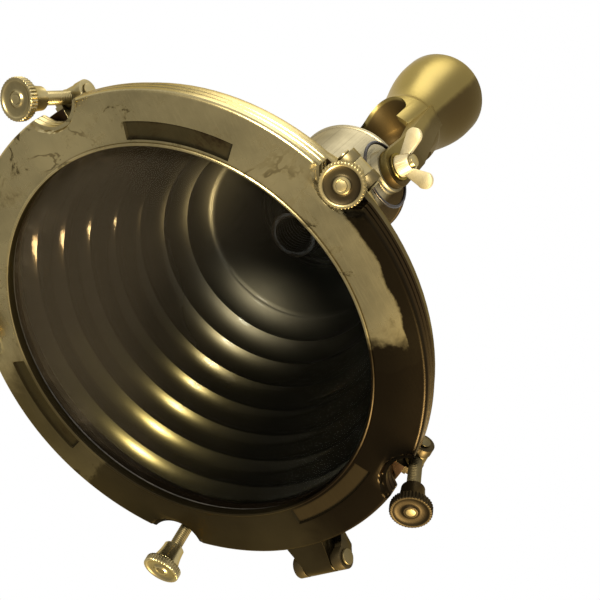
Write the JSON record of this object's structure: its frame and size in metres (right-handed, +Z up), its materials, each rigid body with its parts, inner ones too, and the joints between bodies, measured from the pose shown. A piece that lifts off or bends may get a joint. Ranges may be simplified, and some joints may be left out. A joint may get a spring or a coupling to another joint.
{
  "type": "ship cargo light",
  "caption": "Hanging brass cargo light: ribbed cone shade, flat glass in a hinged bezel held by swing bolts, lamp socket, cable gland and a tilting yoke with a hanging eye.",
  "frame": {"origin": "centre of the hole in the hanging eye, at the top of the hanger", "axes": "+Z up from the glass to the hanger, +X along the tilt axis and the hole of the eye; the bezel's hinge is on -Y"},
  "size_m": [0.3678, 0.3836, 0.565],
  "materials": {
    "cast_brass": "worn polish with dark patina in the recesses",
    "hanger_brass": "polished casting",
    "spun_brass": "dull, tarnished inside",
    "neck_brass": "polished, scratched lengthwise",
    "bright_brass": "polished",
    "bolt_brass": "worn",
    "screw_brass": "worn",
    "wire": "dark",
    "rubber": "matt",
    "ceramic": "brown glaze",
    "glass": "clear"
  },
  "bodies": {
    "hanger": {"yoke": "hanger_brass", "hanging_eye": "bright_brass"},
    "lamp": {"neck_housing": "neck_brass", "neck_lid": "neck_brass", "lid_screws": "screw_brass", "gland_body": "bright_brass", "gland_seal": "rubber", "gland_nut": "bright_brass", "pivot_bolts": "bolt_brass", "pivot_washers": "bright_brass", "holder_plate": "neck_brass", "holder_body": "ceramic", "holder_shell": "bright_brass", "holder_contact": "bright_brass", "holder_screws": "screw_brass", "terminal_blocks": "bright_brass", "shade": "spun_brass", "shade_screws": "screw_brass", "body_flange": "cast_brass", "bezel_gasket": "rubber", "bolt_pins": "bolt_brass", "hinge_pin": "bolt_brass"},
    "bezel": {"bezel_ring": "cast_brass", "glass_gasket": "rubber", "glass": "glass", "glass_retainer": "neck_brass", "retainer_screws": "screw_brass"},
    "wing_left": {"wing_nut_left": "bright_brass"},
    "wing_right": {"wing_nut_right": "bright_brass"},
    "ring": {"wire_ring": "wire"},
    "bolt_1": {"swing_bolt_1": "bolt_brass"},
    "nut_1": {"thumb_nut_1": "bright_brass"},
    "bolt_2": {"swing_bolt_2": "bolt_brass"},
    "nut_2": {"thumb_nut_2": "bright_brass"},
    "bolt_3": {"swing_bolt_3": "bolt_brass"},
    "nut_3": {"thumb_nut_3": "bright_brass"},
    "bolt_4": {"swing_bolt_4": "bolt_brass"},
    "nut_4": {"thumb_nut_4": "bright_brass"},
    "bolt_5": {"swing_bolt_5": "bolt_brass"},
    "nut_5": {"thumb_nut_5": "bright_brass"}
  },
  "joints": [
    {"name": "tilt", "type": "hinge", "parent": "hanger", "child": "lamp", "pos_m": [0, 0, -0.272], "axis": [1, 0, 0], "range_deg": [-75, 75]},
    {"name": "bezel_hinge", "type": "hinge", "parent": "lamp", "child": "bezel", "pos_m": [0, -0.183, -0.515], "axis": [-1, 0, 0], "range_deg": [0, 110]},
    {"name": "bolt_1_swing", "type": "hinge", "parent": "lamp", "child": "bolt_1", "pos_m": [0, 0.164, -0.4967], "axis": [1, 0, 0], "range_deg": [0, 80]},
    {"name": "nut_1_turn", "type": "hinge", "parent": "bolt_1", "child": "nut_1", "pos_m": [0, 0.164, -0.4967], "axis": [0, 0.309, -0.9511], "continuous": true},
    {"name": "bolt_2_swing", "type": "hinge", "parent": "lamp", "child": "bolt_2", "pos_m": [-0.15597, 0.05068, -0.4967], "axis": [0.309, 0.9511, 0], "range_deg": [0, 80]},
    {"name": "nut_2_turn", "type": "hinge", "parent": "bolt_2", "child": "nut_2", "pos_m": [-0.15597, 0.05068, -0.4967], "axis": [-0.2939, 0.0955, -0.9511], "continuous": true},
    {"name": "bolt_3_swing", "type": "hinge", "parent": "lamp", "child": "bolt_3", "pos_m": [-0.0964, -0.13268, -0.4967], "axis": [-0.809, 0.5878, 0], "range_deg": [0, 80]},
    {"name": "nut_3_turn", "type": "hinge", "parent": "bolt_3", "child": "nut_3", "pos_m": [-0.0964, -0.13268, -0.4967], "axis": [-0.1816, -0.25, -0.9511], "continuous": true},
    {"name": "bolt_4_swing", "type": "hinge", "parent": "lamp", "child": "bolt_4", "pos_m": [0.0964, -0.13268, -0.4967], "axis": [-0.809, -0.5878, 0], "range_deg": [0, 80]},
    {"name": "nut_4_turn", "type": "hinge", "parent": "bolt_4", "child": "nut_4", "pos_m": [0.0964, -0.13268, -0.4967], "axis": [0.1816, -0.25, -0.9511], "continuous": true},
    {"name": "bolt_5_swing", "type": "hinge", "parent": "lamp", "child": "bolt_5", "pos_m": [0.15597, 0.05068, -0.4967], "axis": [0.309, -0.9511, 0], "range_deg": [0, 80]},
    {"name": "nut_5_turn", "type": "hinge", "parent": "bolt_5", "child": "nut_5", "pos_m": [0.15597, 0.05068, -0.4967], "axis": [0.2939, 0.0955, -0.9511], "continuous": true},
    {"name": "wing_left_turn", "type": "hinge", "parent": "lamp", "child": "wing_left", "pos_m": [0, 0, -0.272], "axis": [-1, 0, 0], "continuous": true},
    {"name": "wing_right_turn", "type": "hinge", "parent": "lamp", "child": "wing_right", "pos_m": [0, 0, -0.272], "axis": [1, 0, 0], "continuous": true},
    {"name": "ring_swing", "type": "hinge", "parent": "lamp", "child": "ring", "pos_m": [0, 0, -0.272], "axis": [1, 0, 0], "range_deg": [-25, 25]}
  ]
}
